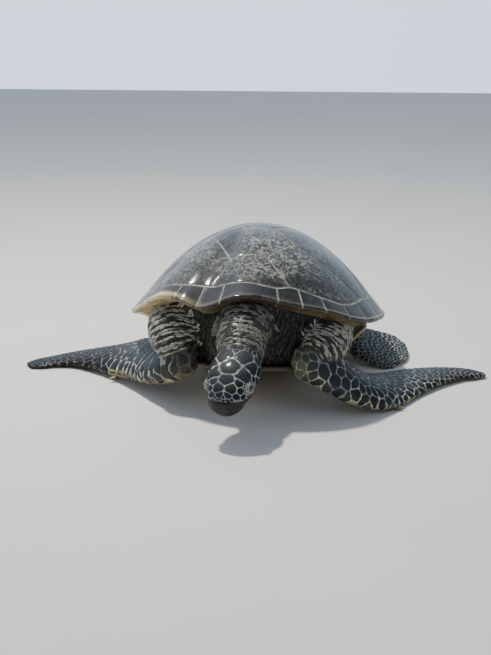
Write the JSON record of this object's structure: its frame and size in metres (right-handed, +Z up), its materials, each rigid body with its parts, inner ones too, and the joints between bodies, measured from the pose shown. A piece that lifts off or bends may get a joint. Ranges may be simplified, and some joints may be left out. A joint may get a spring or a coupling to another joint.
{
  "type": "green sea turtle, adult, hauled out on a beach",
  "caption": "Life-size still model of an adult green sea turtle resting on its belly, head bowed and turned, front of the shell raised on spread front flippers.",
  "frame": {"origin": "on the floor, inside the flat on which the belly plate rests", "axes": "+Z up; -Y the way the head points; +X the turtle's own left side"},
  "size_m": [1.3528, 1.1239, 0.4338],
  "materials": {
    "skin": "scaly, satin, slightly wet",
    "shell": "horn, streaked and mottled, semi-gloss",
    "belly_plate": "horn, satin",
    "beak": "horn, dark grey-brown, satin",
    "claw": "horn, satin",
    "eye": "wet, glossy"
  },
  "bodies": {
    "root": {"beak_lower": "beak", "beak_upper": "beak", "carapace": "shell", "eye_left": "eye", "eye_right": "eye", "front_arm_left": "skin", "front_arm_right": "skin", "front_claw_left": "claw", "front_claw_right": "claw", "front_flipper_left": "skin", "front_flipper_right": "skin", "head": "skin", "hind_claw_left": "claw", "hind_claw_right": "claw", "hind_flipper_left": "skin", "hind_flipper_right": "skin", "neck": "skin", "plastron": "belly_plate", "tail": "skin", "trunk": "skin"}
  },
  "joints": []
}
